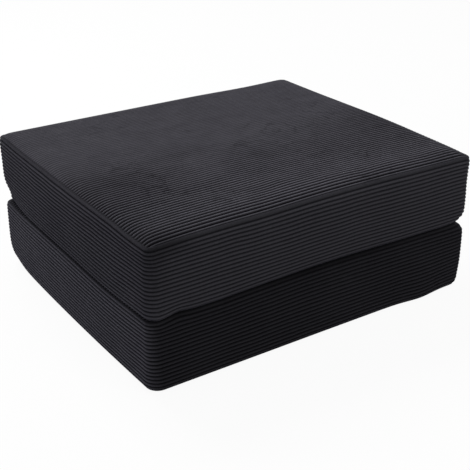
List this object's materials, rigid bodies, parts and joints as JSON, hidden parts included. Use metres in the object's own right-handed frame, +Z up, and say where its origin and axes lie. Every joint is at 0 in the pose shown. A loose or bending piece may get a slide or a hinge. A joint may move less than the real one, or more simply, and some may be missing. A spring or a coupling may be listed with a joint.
{
  "type": "chair bed",
  "caption": "Fold-out foam chair bed: thick rectangular blocks in wide-rib corduroy covers, stacked as a low seat and hinged along one end to open into a mattress.",
  "frame": {"origin": "on the floor, under the middle of the folded stack", "axes": "+X along the long front side towards the hinged end, +Y from the front to the back, +Z up"},
  "size_m": [0.7635, 0.6554, 0.3],
  "materials": {
    "corduroy": "wide-rib cotton corduroy, black, soft pile",
    "foam": "open-cell polyurethane foam, pale cream",
    "strip": "corduroy strip, black, edges turned under",
    "zip_tape": "woven polyester tape, black",
    "zip_teeth": "moulded acetal, black, satin",
    "zip_metal": "zinc alloy, dark nickel, satin"
  },
  "bodies": {
    "lower_block": {"lower_foam_core": "foam", "lower_top_panel": "corduroy", "lower_bottom_panel": "corduroy", "lower_side_band": "corduroy", "lower_zip_band_above": "corduroy", "lower_zip_band_below": "corduroy", "lower_zip_tape_above": "zip_tape", "lower_zip_tape_below": "zip_tape", "lower_zip_teeth_above": "zip_teeth", "lower_zip_teeth_below": "zip_teeth", "lower_zip_end_stops": "zip_metal", "hinge_strip": "strip"},
    "lower_slider": {"lower_zip_slider": "zip_metal"},
    "lower_pull": {"lower_zip_pull": "zip_metal"},
    "upper_block": {"upper_foam_core": "foam", "upper_top_panel": "corduroy", "upper_bottom_panel": "corduroy", "upper_side_band": "corduroy", "upper_zip_band_above": "corduroy", "upper_zip_band_below": "corduroy", "upper_zip_tape_above": "zip_tape", "upper_zip_tape_below": "zip_tape", "upper_zip_teeth_above": "zip_teeth", "upper_zip_teeth_below": "zip_teeth", "upper_zip_end_stops": "zip_metal"},
    "upper_slider": {"upper_zip_slider": "zip_metal"},
    "upper_pull": {"upper_zip_pull": "zip_metal"}
  },
  "joints": [
    {"name": "fold", "type": "hinge", "parent": "lower_block", "child": "upper_block", "pos_m": [0.3826, 0, 0.15], "axis": [0, 1, 0], "range_deg": [0, 180], "deforming": ["hinge_strip"]},
    {"name": "lower_zip", "type": "slide", "parent": "lower_block", "child": "lower_slider", "axis": [-1, 0, 0], "range_m": [0, 0.5442], "deforming": ["lower_zip_teeth_above", "lower_zip_teeth_below"]},
    {"name": "lower_pull_swing", "type": "hinge", "parent": "lower_slider", "child": "lower_pull", "pos_m": [0.2686, 0.32735, 0.07493], "axis": [0, 1, 0], "range_deg": [-45, 90]},
    {"name": "upper_zip", "type": "slide", "parent": "upper_block", "child": "upper_slider", "axis": [-1, 0, 0], "range_m": [0, 0.5442], "deforming": ["upper_zip_teeth_above", "upper_zip_teeth_below"]},
    {"name": "upper_pull_swing", "type": "hinge", "parent": "upper_slider", "child": "upper_pull", "pos_m": [0.2686, 0.32735, 0.22507], "axis": [0, 1, 0], "range_deg": [-45, 90]}
  ]
}
